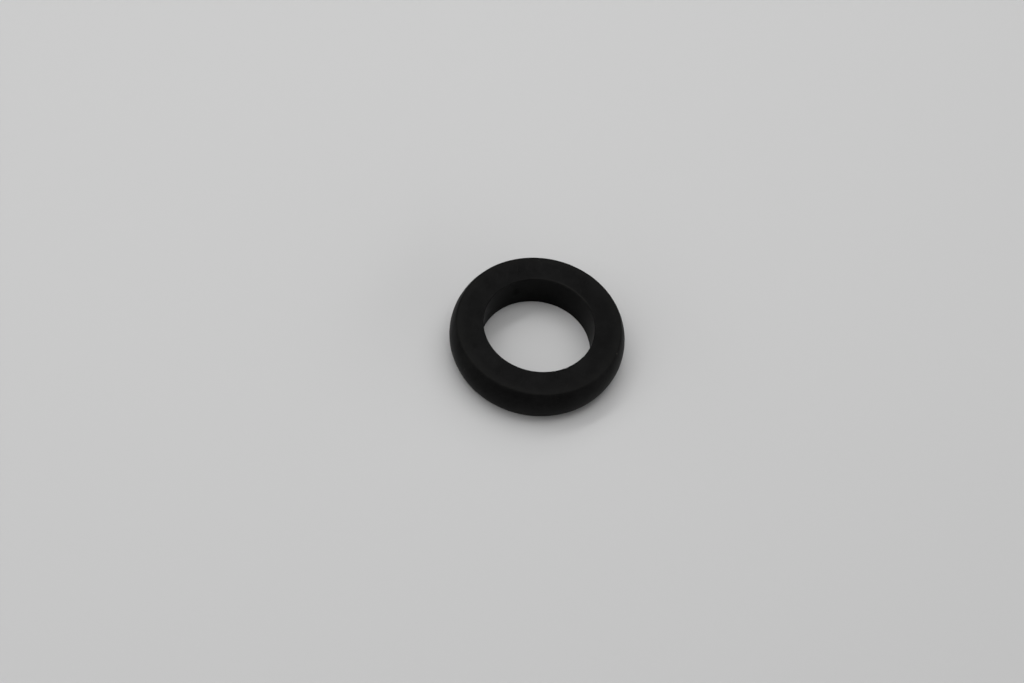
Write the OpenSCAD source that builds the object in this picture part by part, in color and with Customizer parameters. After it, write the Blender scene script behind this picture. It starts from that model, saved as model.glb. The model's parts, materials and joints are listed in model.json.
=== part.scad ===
// Sealing ring moulded in one piece from black rubber.
//
// The ring lies flat, with its axis on Z and its lower sealing face on z = 0.
// Its section is one closed outline, turned round the axis:
//   - a flat sealing face above and below, both the same,
//   - a straight bore, with a small radius at each end,
//   - an outer side that is crowned like a barrel, which is one arc from face to face,
//   - a small radius where the arc meets each face, tangent to both.
// Lengths are in millimetres.

/* [Ring] */
// Diameter over the widest part of the crowned side
outer_d = 30; // [25:0.5:60]
// Diameter of the bore
bore_d = 18.9; // [8:0.1:22]
// Height from one sealing face to the other
height = 6.8; // [3.5:0.1:14]
// How far the crowned side stands out past the edge of a face
crown = 0.95; // [0.2:0.05:1.5]

/* [Edges] */
// Radius between each face and the crowned side
rim_r = 0.4; // [0.1:0.05:0.8]
// Radius between each face and the bore
bore_edge_r = 0.1; // [0.05:0.05:0.8]

/* [Hidden] */
$fn = 180;
rubber_black = "#1a1a1a";

outer_r = outer_d / 2;
bore_r = bore_d / 2;
half_h = height / 2;

// The arc of the side passes through the widest point and through the edge of each face.
crown_arc_r = (half_h * half_h + crown * crown) / (2 * crown);
crown_arc_x = outer_r - crown_arc_r;

// An edge radius takes up less than half of the flat face, however thin the ring is.
face_w = outer_r - crown - bore_r;
rim_fillet_r = min(rim_r, 0.45 * face_w);
bore_fillet_r = min(bore_edge_r, 0.45 * face_w);

// The rim's fillet lies inside the side's arc and touches it, and touches the face.
rim_z = half_h - rim_fillet_r;
rim_x = crown_arc_x + sqrt(pow(crown_arc_r - rim_fillet_r, 2) - rim_z * rim_z);
// Height at which the fillet hands over to the arc
arc_end_z = rim_z * crown_arc_r / (crown_arc_r - rim_fillet_r);

bore_edge_x = bore_r + bore_fillet_r;
bore_edge_z = half_h - bore_fillet_r;

// A rectangle from one radius to another, centred on the ring's middle plane
module band(from_r, to_r, half_height) {
    translate([from_r, -half_height])
        square([to_r - from_r, 2 * half_height]);
}

// Round corners at one radius, above and below the middle plane
module edge_pair(x, z, r) {
    for (side = [-1, 1])
        translate([x, side * z])
            circle(r = r);
}

// Half of the ring's section, on the middle plane
module section() {
    // Face to face, between the bore's edges and the rims
    band(bore_edge_x, rim_x, half_h);
    // The bore's straight wall
    band(bore_r, rim_x, bore_edge_z);
    // The crowned side, up to where the rims' fillets take over
    intersection() {
        translate([crown_arc_x, 0])
            circle(r = crown_arc_r);
        band(bore_edge_x, outer_r + crown, arc_end_z);
    }
    edge_pair(rim_x, rim_z, rim_fillet_r);
    edge_pair(bore_edge_x, bore_edge_z, bore_fillet_r);
}

module seal_ring() {
    color(rubber_black)
        translate([0, 0, half_h])
            rotate_extrude()
                section();
}

seal_ring();
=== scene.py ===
"""A black rubber sealing ring, lying on a pale floor in soft studio light.

Sizes are named in millimetres, and MM turns them to Blender's metres. X is to the right of the
ring as the camera sees it, Y is away from the camera and Z is up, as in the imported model.
Azimuth is in degrees round the ring's axis, from X towards Y: 90 is at the back.
"""
import json
import math

import bpy
from mathutils import Matrix, Vector


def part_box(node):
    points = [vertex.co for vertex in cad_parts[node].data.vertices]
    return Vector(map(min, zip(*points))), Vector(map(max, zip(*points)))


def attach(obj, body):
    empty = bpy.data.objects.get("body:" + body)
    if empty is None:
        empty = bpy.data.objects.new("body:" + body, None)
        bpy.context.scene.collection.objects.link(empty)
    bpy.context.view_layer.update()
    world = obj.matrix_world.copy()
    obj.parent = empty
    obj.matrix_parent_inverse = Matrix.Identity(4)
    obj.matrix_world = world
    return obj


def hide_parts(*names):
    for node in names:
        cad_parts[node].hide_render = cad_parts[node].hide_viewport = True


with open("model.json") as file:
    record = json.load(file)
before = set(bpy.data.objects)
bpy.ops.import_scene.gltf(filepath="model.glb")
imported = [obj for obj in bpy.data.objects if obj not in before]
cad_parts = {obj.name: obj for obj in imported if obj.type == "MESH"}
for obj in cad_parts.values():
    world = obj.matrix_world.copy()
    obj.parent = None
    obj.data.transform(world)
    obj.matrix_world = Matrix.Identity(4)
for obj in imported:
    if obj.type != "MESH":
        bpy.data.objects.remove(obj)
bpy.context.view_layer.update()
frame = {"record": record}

MM = 0.001

# ---------------------------------------------------------------- sizes of the ring, in millimetres
NODE = "seal_ring"
low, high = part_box(NODE)
OUTER_R = (high.x - low.x) / 2 / MM
HEIGHT = (high.z - low.z) / MM
HALF = HEIGHT / 2
BORE_R = next(m["dims"]["r_mm"] for m in frame["record"]["mounts"] if m["name"] == "bore")
CROWN = 0.95            # how far the side stands out past the edge of a face
RIM_R = 0.4             # radius between a face and the side
BORE_EDGE_R = 0.1       # radius between a face and the bore

# The side is one arc, and RIM is the middle of the round edge that leads from it to a face,
# as (distance from the axis, height above the ring's middle). BORE_EDGE is the bore's.
CROWN_ARC_R = (HALF ** 2 + CROWN ** 2) / (2 * CROWN)
CROWN_ARC_X = OUTER_R - CROWN_ARC_R
RIM = (CROWN_ARC_X + math.sqrt((CROWN_ARC_R - RIM_R) ** 2 - (HALF - RIM_R) ** 2), HALF - RIM_R)
BORE_EDGE = (BORE_R + BORE_EDGE_R, HALF - BORE_EDGE_R)

# How the moulding differs from a true turned form. Each of these only takes rubber away.
SHOULDER_WIDTH = 1.7    # a face falls away over this width before it reaches the rim
SHOULDER_DROP = 0.05
WAVE_SIZE = 7.0         # slow unevenness of the whole ring
WAVE_DEPTH = 0.03
NICK_SIZE = 0.9         # small bites left where the flash was trimmed off the edges
NICK_DEPTH = 0.06
RIM_NICKS = (0.2, 0.75)    # how far nicks reach from an edge: all within the first, none past the second
BORE_NICKS = (0.1, 0.5)
SEED = 3.0              # of the waves and the nicks

STEPS_ROUND = 512       # and the steps of the section along each of its stretches
STEPS_FACE = 28
STEPS_RIM = 12
STEPS_SIDE = 44
STEPS_BORE_EDGE = 8
STEPS_BORE = 40

# ---------------------------------------------------------------- the rubber's patterns, in millimetres
CLOUD_SIZE = 4.5
BAND_WIDTH = 1.6        # the pale band along the rim of a face, a painted sheen, which fades inwards all the way
BAND_PATCH = 1.6
BAND_WANDER = 0.9       # how far the band's inner border wanders
WEAR_LENGTH = 3.0
RIM_LINE = (0.05, 0.35)    # how far the pale line, partly wear and partly painted highlight, reaches from its edge, as for the nicks
BORE_LINE = (0.15, 0.5)
SPECK_SPACING = 1.1
SPECK_SHARE = 0.3       # the share of cells that hold a speck
SPECK_R = 0.08
SCUFF_TURN = (0.3, 0.2, math.radians(55))    # about X, Y and Z
SCUFF_WIDTH = 0.22
SCUFF_LENGTH = 2.2
SCUFF_PATCH = 7.0
SCUFF_DEPTH = 0.006
GRAIN_SIZE = 0.3        # drawn coarser than a spark-eroded mould's, which is near 0.05 and too fine to show
GRAIN_HEIGHT = 0.006

# ---------------------------------------------------------------- the rubber's gloss
BARE_ROUGHNESS = 0.42
BLOOM_ROUGHNESS = 0.5
BAND_POLISH = 0.04      # taken off by handling
DUST_AND_HOLLOW_DULLING = 0.3      # added by dust, and in the hollows that are painted with shade
RUBBER_IOR = 1.5
RUBBER_SPECULAR = 0.036

# ---------------------------------------------------------------- the camera
FRAME_PX = 1024
LENS_PX = 2500          # focal length, in pixels of the 1024 wide frame
SENSOR = 36.0
ELEVATION = 55.45       # degrees above the floor
DISTANCE = 425.66       # from the ring's middle
ROLL = 11.09            # degrees
PAN = 0.5415            # degrees, which puts the ring right of the middle
TILT = 0.2356           # degrees, which puts it above the middle

# ---------------------------------------------------------------- the room
FLOOR_GREY = "#c8c8c8"
FLOOR_REACH = 3.0       # metres, from the ring's axis to each side of the floor
ROOM_GLOW = 0.076       # brightness of the light that comes from all round


def spot(azimuth, radius, height):
    """A place on the ring, in millimetres: height is above the lower face."""
    turn = math.radians(azimuth)
    return (radius * math.cos(turn), radius * math.sin(turn), height)


# Marks that this one ring carries: hollows, each with its radius, its depth and how dark the shade painted
# into it is, specks of dust, each with its radius, and the stretch of the bore's upper edge where a
# highlight is painted palest.
HOLLOWS = [(spot(123, BORE_R, 4.2), 1.0, 0.05, 0.55), (spot(122.5, BORE_R, 3.4), 1.0, 0.05, 0.55),
           (spot(214, 11.9, HEIGHT), 0.7, 0.02, 0.3)]
SPECKS = [(spot(349, 14.05, 6.7), 0.13), (spot(223, 14.92, 4.3), 0.08), (spot(229, 14.98, 3.4), 0.07),
          (spot(239, 14.96, 2.9), 0.08)]
# Painted highlight: the stretch of the bore's upper edge painted palest, where the tube's light glints on
# the rounded edge.
EDGE_GLINT = spot(64, BORE_R, HEIGHT)
GLINT_LENGTH = 6.0


def add(tree, kind, inputs=None, **settings):
    """Adds a node. Each input, by name or number, gets its value, or the socket or node that feeds it."""
    made = tree.nodes.new(kind)
    for name, value in settings.items():
        setattr(made, name, value)
    for key, value in (inputs or {}).items():
        if isinstance(value, bpy.types.Node):
            value = value.outputs[0]
        if isinstance(value, bpy.types.NodeSocket):
            tree.links.new(value, made.inputs[key])
        else:
            made.inputs[key].default_value = value
    return made


def linear(hex_colour):
    """An sRGB hex colour as linear RGBA."""
    srgb = [int(hex_colour[i:i + 2], 16) / 255 for i in (1, 3, 5)]
    return [c / 12.92 if c <= 0.04045 else ((c + 0.055) / 1.055) ** 2.4 for c in srgb] + [1.0]


# ---------------------------------------------------------------- the section
def arc(centre_x, centre_z, radius, start, end, steps):
    """Points along an arc, its last one left out, with angles in degrees from +X towards +Z."""
    turns = [math.radians(start + (end - start) * i / steps) for i in range(steps)]
    return [(centre_x + radius * math.cos(t), centre_z + radius * math.sin(t)) for t in turns]


def straight(x0, z0, x1, z1, steps):
    """Points along a straight stretch, its last one left out."""
    return [(x0 + (x1 - x0) * i / steps, z0 + (z1 - z0) * i / steps) for i in range(steps)]


def ring_section():
    """The ring's section as a closed loop of points, in millimetres, with z = 0 at the lower face.

    It runs clockwise, from the lower face inwards, so that the swept faces point outwards.
    """
    rim_x, rim_z = RIM
    edge_x, edge_z = BORE_EDGE
    rim_turn = math.degrees(math.atan2(rim_z, rim_x - CROWN_ARC_X))
    loop = straight(edge_x, -HALF, rim_x, -HALF, STEPS_FACE)
    loop += arc(rim_x, -rim_z, RIM_R, -90, -rim_turn, STEPS_RIM)
    loop += arc(CROWN_ARC_X, 0, CROWN_ARC_R, -rim_turn, rim_turn, STEPS_SIDE)
    loop += arc(rim_x, rim_z, RIM_R, rim_turn, 90, STEPS_RIM)
    loop += straight(rim_x, HALF, edge_x, HALF, STEPS_FACE)
    loop += arc(edge_x, edge_z, BORE_EDGE_R, 90, 180, STEPS_BORE_EDGE)
    loop += straight(BORE_R, edge_z, BORE_R, -edge_z, STEPS_BORE)
    loop += arc(edge_x, -edge_z, BORE_EDGE_R, 180, 270, STEPS_BORE_EDGE)
    return [(x, z + HALF) for x, z in reversed(loop)]


def section_point(tree, place):
    """Where a point lies in the ring's section: (distance from the axis, from mid height, 0)."""
    flat = add(tree, "ShaderNodeVectorMath", {0: place, 1: (1, 1, 0)}, operation="MULTIPLY")
    out = add(tree, "ShaderNodeVectorMath", {0: flat}, operation="LENGTH")
    height = add(tree, "ShaderNodeSeparateXYZ", {0: place})
    level = add(tree, "ShaderNodeMath", {0: height.outputs["Z"], 1: HALF}, operation="SUBTRACT")
    away = add(tree, "ShaderNodeMath", {0: level}, operation="ABSOLUTE")
    return add(tree, "ShaderNodeCombineXYZ", {"X": out.outputs["Value"], "Y": away})


def nearness(tree, point, target, full, none):
    """1 within full millimetres of a target, falling smoothly to 0 at none millimetres."""
    gap = add(tree, "ShaderNodeVectorMath", {0: point, 1: target}, operation="DISTANCE")
    return add(tree, "ShaderNodeMapRange",
               {"Value": gap.outputs["Value"], "From Min": none, "From Max": full},
               interpolation_type="SMOOTHSTEP")


# ---------------------------------------------------------------- materials
def new_material(name):
    """An empty material, and its node tree."""
    material = bpy.data.materials.new(name)
    material.use_nodes = True
    material.node_tree.nodes.clear()
    return material, material.node_tree


def mottles(tree, place):
    """0 to 1: the clouds and grains of filler and bloom that make moulded rubber an uneven black."""
    clouds = add(tree, "ShaderNodeTexNoise",
                 {"Vector": place, "Scale": 1 / CLOUD_SIZE, "Detail": 4.0, "Roughness": 0.7})
    return add(tree, "ShaderNodeMapRange", {"Value": clouds, "From Min": 0.35, "From Max": 0.68})


def rim_sheen_band(tree, place, point):
    """0 to 1: the last stretch of each face before its rim, painted paler as the sheen the rounded rim
    reflects, with an uneven inner border.
    """
    parts = add(tree, "ShaderNodeSeparateXYZ", {0: point})
    patches = add(tree, "ShaderNodeTexNoise", {"Vector": place, "Scale": 1 / BAND_PATCH, "Detail": 2.0})
    wandered = add(tree, "ShaderNodeMath", {0: patches, 1: BAND_WANDER, 2: parts.outputs["X"]},
                   operation="MULTIPLY_ADD")
    rim = RIM[0] + BAND_WANDER / 2
    inside = add(tree, "ShaderNodeMapRange",
                 {"Value": wandered, "From Min": rim - BAND_WIDTH, "From Max": rim},
                 interpolation_type="SMOOTHSTEP")
    on_face = add(tree, "ShaderNodeMapRange",
                  {"Value": parts.outputs["Y"],
                   "From Min": HALF - 0.75 * RIM_R, "From Max": HALF - 0.3 * RIM_R},
                  interpolation_type="SMOOTHSTEP")
    return add(tree, "ShaderNodeMath", {0: inside, 1: on_face}, operation="MULTIPLY")


def worn_edges_and_glint(tree, place, point):
    """0 to 1: a thin pale line along the bore's edges and the rims, broken where nothing touched them:
    partly wear and partly a painted highlight, painted brightest where the tube's light glints on the bore's
    upper edge.
    """
    bore_line = nearness(tree, point, (BORE_R, HALF, 0), *BORE_LINE)
    rim_line = nearness(tree, point, (RIM[0] + 0.7 * RIM_R, RIM[1] + 0.7 * RIM_R, 0), *RIM_LINE)
    lines = add(tree, "ShaderNodeMath", {0: rim_line, 1: 0.5, 2: bore_line}, operation="MULTIPLY_ADD")
    stretches = add(tree, "ShaderNodeTexNoise", {"Vector": place, "Scale": 1 / WEAR_LENGTH, "Detail": 3.0})
    worn = add(tree, "ShaderNodeMapRange",
               {"Value": stretches, "From Min": 0.5, "From Max": 0.7, "To Max": 0.5},
               interpolation_type="SMOOTHSTEP")
    glint = nearness(tree, place, EDGE_GLINT, 0.4 * GLINT_LENGTH, GLINT_LENGTH)
    share = add(tree, "ShaderNodeMath", {0: glint, 1: worn}, operation="ADD")
    return add(tree, "ShaderNodeMath", {0: lines, 1: share}, operation="MULTIPLY")


def dust(tree, place):
    """0 to 1: specks of dust clinging to the rubber, scattered in cells, with a few at listed places."""
    cells = add(tree, "ShaderNodeTexVoronoi", {"Vector": place, "Scale": 1 / SPECK_SPACING})
    kept = add(tree, "ShaderNodeSeparateColor", {0: cells.outputs["Color"]})
    size = add(tree, "ShaderNodeMapRange", {"Value": kept, "From Min": 1 - SPECK_SHARE, "From Max": 1.0,
                                            "To Max": SPECK_R / SPECK_SPACING})
    specks = add(tree, "ShaderNodeMath", {0: cells.outputs["Distance"], 1: size}, operation="LESS_THAN")
    for middle, radius in SPECKS:
        near = nearness(tree, place, middle, radius, 1.5 * radius)
        specks = add(tree, "ShaderNodeMath", {0: specks, 1: near}, operation="MAXIMUM")
    return specks


def scuffs(tree, place):
    """0 to 1: short faint rubs that all run one way, in patches with clean rubber between them."""
    stretch = (1 / SCUFF_WIDTH, 1 / SCUFF_LENGTH, 1 / SCUFF_LENGTH)
    turned = add(tree, "ShaderNodeMapping", {"Vector": place, "Rotation": SCUFF_TURN, "Scale": stretch})
    streaks = add(tree, "ShaderNodeTexNoise", {"Vector": turned, "Scale": 1.0, "Detail": 1.0})
    rubbed = add(tree, "ShaderNodeMapRange", {"Value": streaks, "From Min": 0.6, "From Max": 0.72},
                 interpolation_type="SMOOTHSTEP")
    areas = add(tree, "ShaderNodeTexNoise", {"Vector": place, "Scale": 1 / SCUFF_PATCH, "Detail": 0.0})
    patches = add(tree, "ShaderNodeMapRange", {"Value": areas, "From Min": 0.5, "From Max": 0.65},
                  interpolation_type="SMOOTHSTEP")
    return add(tree, "ShaderNodeMath", {0: rubbed, 1: patches}, operation="MULTIPLY")


def hollow_shade(tree, place):
    """0 to 1: the floors of the hollows, where shade is painted in as a darker colour."""
    shaded_hollows = 0.0
    for middle, radius, _, darkness in HOLLOWS:
        near = nearness(tree, place, middle, 0.0, radius)
        one = add(tree, "ShaderNodeMath", {0: near, 1: darkness}, operation="MULTIPLY")
        shaded_hollows = add(tree, "ShaderNodeMath", {0: one, 1: shaded_hollows}, operation="MAXIMUM")
    return shaded_hollows


def moulded_rubber():
    """Nitrile rubber from a grained steel mould: a soot black with a low, broad sheen, clouded by bloom."""
    material, tree = new_material("moulded_nitrile_rubber")
    centred = add(tree, "ShaderNodeTexCoord")
    place = add(tree, "ShaderNodeVectorMath", {0: centred.outputs["Object"], "Scale": 1 / MM},
                operation="SCALE")
    point = section_point(tree, place)
    cloudy = mottles(tree, place)
    # the paler band along each rim is painted sheen
    rim_sheen = rim_sheen_band(tree, place, point)
    # the pale edge lines are wear, with a painted highlight
    worn = worn_edges_and_glint(tree, place, point)
    rubbed = scuffs(tree, place)
    dusty = dust(tree, place)
    # the darkened hollows are painted shade
    shaded_hollows = hollow_shade(tree, place)

    # Colour: soot black clouded by bloom, and over it the rim band of painted sheen, the edge lines of wear
    # and painted highlight, the scuffs, the painted shade in the hollows and the dust.
    # A colour Mix node has its factor at 0, its colours at 6 and 7, and its result at 2.
    colour = add(tree, "ShaderNodeMix", {0: cloudy, 6: linear("#070707"), 7: linear("#131313")},
                 data_type="RGBA")
    for mask, strength, tone in ((rim_sheen, 0.42, "#171716"), (worn, 0.5, "#1f1f1e"), (rubbed, 0.25, "#1b1b1a"),
                                 (shaded_hollows, 1.0, "#030303"), (dusty, 0.7, "#34332f")):
        share = add(tree, "ShaderNodeMath", {0: mask, 1: strength}, operation="MULTIPLY")
        colour = add(tree, "ShaderNodeMix", {0: share, 6: colour.outputs[2], 7: linear(tone)},
                     data_type="RGBA")

    # Roughness: bloom dulls the rubber, handling polishes the rim band, and dust and the shaded hollows have
    # no gloss
    dulled = add(tree, "ShaderNodeMapRange",
                 {"Value": cloudy, "To Min": BARE_ROUGHNESS, "To Max": BLOOM_ROUGHNESS})
    polished = add(tree, "ShaderNodeMath", {0: rim_sheen, 1: -BAND_POLISH, 2: dulled}, operation="MULTIPLY_ADD")
    dust_and_hollows = add(tree, "ShaderNodeMath", {0: dusty, 1: shaded_hollows}, operation="MAXIMUM")
    roughness = add(tree, "ShaderNodeMath", {0: dust_and_hollows, 1: DUST_AND_HOLLOW_DULLING, 2: polished},
                    operation="MULTIPLY_ADD")

    # Height, in millimetres: the grain, the scuffs pressed into it and the specks that lie on it
    grain = add(tree, "ShaderNodeTexNoise", {"Vector": place, "Scale": 1 / GRAIN_SIZE, "Detail": 2.0})
    grained = add(tree, "ShaderNodeMath", {0: grain, 1: GRAIN_HEIGHT}, operation="MULTIPLY")
    pressed = add(tree, "ShaderNodeMath", {0: rubbed, 1: -SCUFF_DEPTH, 2: grained}, operation="MULTIPLY_ADD")
    height = add(tree, "ShaderNodeMath", {0: dusty, 1: SPECK_R / 4, 2: pressed}, operation="MULTIPLY_ADD")
    bump = add(tree, "ShaderNodeBump", {"Height": height, "Distance": MM, "Strength": 1.0})

    shader = add(tree, "ShaderNodeBsdfPrincipled", {
        "Base Color": colour.outputs[2],
        "Roughness": roughness,
        "Normal": bump,
        "IOR": RUBBER_IOR,
        "Specular IOR Level": RUBBER_SPECULAR,
    })
    add(tree, "ShaderNodeOutputMaterial", {"Surface": shader})
    return material


def floor_board():
    """Plain board with a matt coat: one even light grey, with no gloss."""
    material, tree = new_material("matt_grey_board")
    shader = add(tree, "ShaderNodeBsdfPrincipled", {
        "Base Color": linear(FLOOR_GREY),
        "Roughness": 0.9,
        "Specular IOR Level": 0.0,
    })
    add(tree, "ShaderNodeOutputMaterial", {"Surface": shader})
    return material


# ---------------------------------------------------------------- the ring
def moulded_form(tree, swept, given):
    """Takes the swept ring inwards, by its waves, nicked edges, fallen shoulders and hollows."""
    here = add(tree, "GeometryNodeInputPosition")
    place = add(tree, "ShaderNodeVectorMath", {0: here, "Scale": 1 / MM}, operation="SCALE")
    point = section_point(tree, place)
    parts = add(tree, "ShaderNodeSeparateXYZ", {0: point})

    waves = add(tree, "ShaderNodeTexNoise",
                {"Vector": place, "W": given["Seed"], "Scale": given["Waves per mm"]}, noise_dimensions="4D")
    wavy = add(tree, "ShaderNodeMath", {0: waves, 1: given["Wave Depth"]}, operation="MULTIPLY")

    bites = add(tree, "ShaderNodeTexNoise",
                {"Vector": place, "W": given["Seed"], "Scale": given["Nicks per mm"]}, noise_dimensions="4D")
    bitten = add(tree, "ShaderNodeMapRange", {"Value": bites, "From Min": 0.5, "From Max": 0.8},
                 interpolation_type="SMOOTHSTEP")
    at_rim = nearness(tree, point, (RIM[0], HALF, 0), *RIM_NICKS)
    at_bore = nearness(tree, point, (BORE_R, HALF, 0), *BORE_NICKS)
    edges = add(tree, "ShaderNodeMath", {0: at_rim, 1: at_bore}, operation="ADD")
    nicks = add(tree, "ShaderNodeMath", {0: bitten, 1: edges}, operation="MULTIPLY")
    nicked = add(tree, "ShaderNodeMath", {0: nicks, 1: given["Nick Depth"], 2: wavy},
                 operation="MULTIPLY_ADD")

    fall = add(tree, "ShaderNodeMapRange",
               {"Value": parts.outputs["X"], "From Min": RIM[0] - SHOULDER_WIDTH, "From Max": RIM[0]})
    rounded = add(tree, "ShaderNodeMath", {0: fall, 1: 2.0}, operation="POWER")
    on_face = add(tree, "ShaderNodeMapRange",
                  {"Value": parts.outputs["Y"], "From Min": RIM[1], "From Max": HALF})
    shoulder = add(tree, "ShaderNodeMath", {0: rounded, 1: on_face}, operation="MULTIPLY")
    depth = add(tree, "ShaderNodeMath", {0: shoulder, 1: given["Shoulder Drop"], 2: nicked},
                operation="MULTIPLY_ADD")
    for middle, radius, deepest, _ in HOLLOWS:
        near = nearness(tree, place, middle, 0.0, radius)
        depth = add(tree, "ShaderNodeMath", {0: near, 1: deepest, 2: depth}, operation="MULTIPLY_ADD")
    inward = add(tree, "ShaderNodeMath", {0: depth, 1: -MM}, operation="MULTIPLY")
    normal = add(tree, "GeometryNodeInputNormal")
    offset = add(tree, "ShaderNodeVectorMath", {0: normal, "Scale": inward}, operation="SCALE")
    return add(tree, "GeometryNodeSetPosition", {"Geometry": swept, "Offset": offset})


def build_ring(material):
    """The section, swept round the axis by Geometry Nodes and made a plain mesh."""
    # The sweep counts the section's x from its path, which runs at the outer radius, and its y downwards.
    points = [((x - OUTER_R) * MM, -z * MM, 0.0) for x, z in ring_section()]
    count = len(points)
    outline = bpy.data.meshes.new("ring_section")
    outline.from_pydata(points, [(i, (i + 1) % count) for i in range(count)], [])
    drawn = bpy.data.objects.new("ring_section", outline)
    bpy.context.scene.collection.objects.link(drawn)

    tree = bpy.data.node_groups.new("moulded_section", "GeometryNodeTree")
    values = {
        "Path Radius": ("NodeSocketFloat", OUTER_R * MM),
        "Steps Round": ("NodeSocketInt", STEPS_ROUND),
        "Waves per mm": ("NodeSocketFloat", 1 / WAVE_SIZE),
        "Wave Depth": ("NodeSocketFloat", WAVE_DEPTH),
        "Nicks per mm": ("NodeSocketFloat", 1 / NICK_SIZE),
        "Nick Depth": ("NodeSocketFloat", NICK_DEPTH),
        "Shoulder Drop": ("NodeSocketFloat", SHOULDER_DROP),
        "Seed": ("NodeSocketFloat", SEED),
        "Rubber": ("NodeSocketMaterial", material),
    }
    tree.interface.new_socket("Geometry", in_out="INPUT", socket_type="NodeSocketGeometry")
    for name, (kind, _) in values.items():
        tree.interface.new_socket(name, in_out="INPUT", socket_type=kind)
    tree.interface.new_socket("Geometry", in_out="OUTPUT", socket_type="NodeSocketGeometry")
    given = add(tree, "NodeGroupInput").outputs
    path = add(tree, "GeometryNodeCurvePrimitiveCircle",
               {"Resolution": given["Steps Round"], "Radius": given["Path Radius"]})
    profile = add(tree, "GeometryNodeMeshToCurve", {"Mesh": given["Geometry"]})
    swept = add(tree, "GeometryNodeCurveToMesh", {"Curve": path, "Profile Curve": profile})
    formed = moulded_form(tree, swept, given)
    real = add(tree, "GeometryNodeRealizeInstances", {"Geometry": formed})
    painted = add(tree, "GeometryNodeSetMaterial", {"Geometry": real, "Material": given["Rubber"]})
    add(tree, "NodeGroupOutput", {0: painted})

    modifier = drawn.modifiers.new("moulded_section", "NODES")
    modifier.node_group = tree
    socket = {s.name: s.identifier for s in tree.interface.items_tree if s.in_out == "INPUT"}
    for name, (_, value) in values.items():
        modifier[socket[name]] = value
    depsgraph = bpy.context.evaluated_depsgraph_get()
    mesh = bpy.data.meshes.new_from_object(drawn.evaluated_get(depsgraph))
    bpy.data.objects.remove(drawn)
    mesh.polygons.foreach_set("use_smooth", [True] * len(mesh.polygons))
    ring = bpy.data.objects.new("moulded_ring", mesh)
    bpy.context.scene.collection.objects.link(ring)
    return ring


ring = build_ring(moulded_rubber())
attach(ring, "root")
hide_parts(NODE)


# ---------------------------------------------------------------- the scene
def place_camera():
    """A long lens that looks down on the ring, rolled a little to the left."""
    data = bpy.data.cameras.new("camera")
    data.sensor_width = SENSOR
    data.lens = LENS_PX / FRAME_PX * SENSOR
    data.clip_start = 0.01
    camera = bpy.data.objects.new("camera", data)
    bpy.context.scene.collection.objects.link(camera)
    down = math.radians(ELEVATION)
    ahead = Vector((0, math.cos(down), -math.sin(down)))
    above = Vector((0, math.sin(down), math.cos(down)))
    view = Matrix((Vector((1, 0, 0)), -above, ahead))
    turn = (Matrix.Rotation(math.radians(ROLL), 3, "Z") @ Matrix.Rotation(math.radians(TILT), 3, "X")
            @ Matrix.Rotation(math.radians(PAN), 3, "Y"))
    flip = Matrix(((1, 0, 0), (0, -1, 0), (0, 0, -1)))
    middle = Vector((0, 0, HALF * MM))
    turned = (flip @ turn @ view).transposed().to_4x4()
    camera.matrix_world = Matrix.Translation(middle - ahead * DISTANCE * MM) @ turned
    bpy.context.scene.camera = camera


def build_floor():
    """A plain square board under the ring."""
    mesh = bpy.data.meshes.new("floor")
    corners = [(x * FLOOR_REACH, y * FLOOR_REACH, 0) for x, y in ((-1, -1), (1, -1), (1, 1), (-1, 1))]
    mesh.from_pydata(corners, [], [(0, 1, 2, 3)])
    floor = bpy.data.objects.new("floor", mesh)
    bpy.context.scene.collection.objects.link(floor)
    mesh.materials.append(floor_board())


def soft_box(name, azimuth, elevation, across, upright, brightness, distance):
    """A soft box aimed at the ring, from distance metres away.

    Seen from the ring it is across degrees wide and upright degrees high.
    """
    data = bpy.data.lights.new(name, "AREA")
    data.shape = "RECTANGLE"
    data.size = 2 * distance * math.tan(math.radians(across / 2))
    data.size_y = 2 * distance * math.tan(math.radians(upright / 2))
    data.energy = brightness * math.pi * data.size * data.size_y
    lamp = bpy.data.objects.new(name, data)
    bpy.context.scene.collection.objects.link(lamp)
    a, e = math.radians(azimuth), math.radians(elevation)
    place = Vector((math.cos(a) * math.cos(e), math.sin(a) * math.cos(e), math.sin(e))) * distance
    lamp.location = place
    lamp.rotation_euler = place.to_track_quat("Z", "Y").to_euler()


def light_the_room():
    """An even glow, and five soft boxes: the tube draws the straight shadow edge inside the ring."""
    scene = bpy.context.scene
    scene.view_settings.view_transform = "Standard"
    world = bpy.data.worlds.new("room")
    scene.world = world
    world.use_nodes = True
    tree = world.node_tree
    tree.nodes.clear()
    # Where the camera sees past the floor's edge, the room has the floor's own tone.
    backdrop = linear(FLOOR_GREY)[0]
    rays = add(tree, "ShaderNodeLightPath")
    seen = add(tree, "ShaderNodeMath",
               {0: rays.outputs["Is Camera Ray"], 1: backdrop - ROOM_GLOW, 2: ROOM_GLOW},
               operation="MULTIPLY_ADD")
    glow = add(tree, "ShaderNodeBackground", {"Color": linear("#ffffff"), "Strength": seen})
    add(tree, "ShaderNodeOutputWorld", {"Surface": glow})
    soft_box("ceiling_panel", 140, 70, 115, 55, 1.19, 0.5)
    soft_box("tube", 134, 63, 50, 3, 11.0, 0.5)
    soft_box("side_strip", 25, 76, 20, 50, 2.2, 0.5)
    soft_box("right_wall", 341, 14, 94, 24, 1.86, 2.0)
    soft_box("front_wall", 215, 14, 110, 24, 1.05, 2.0)


place_camera()
build_floor()
light_the_room()
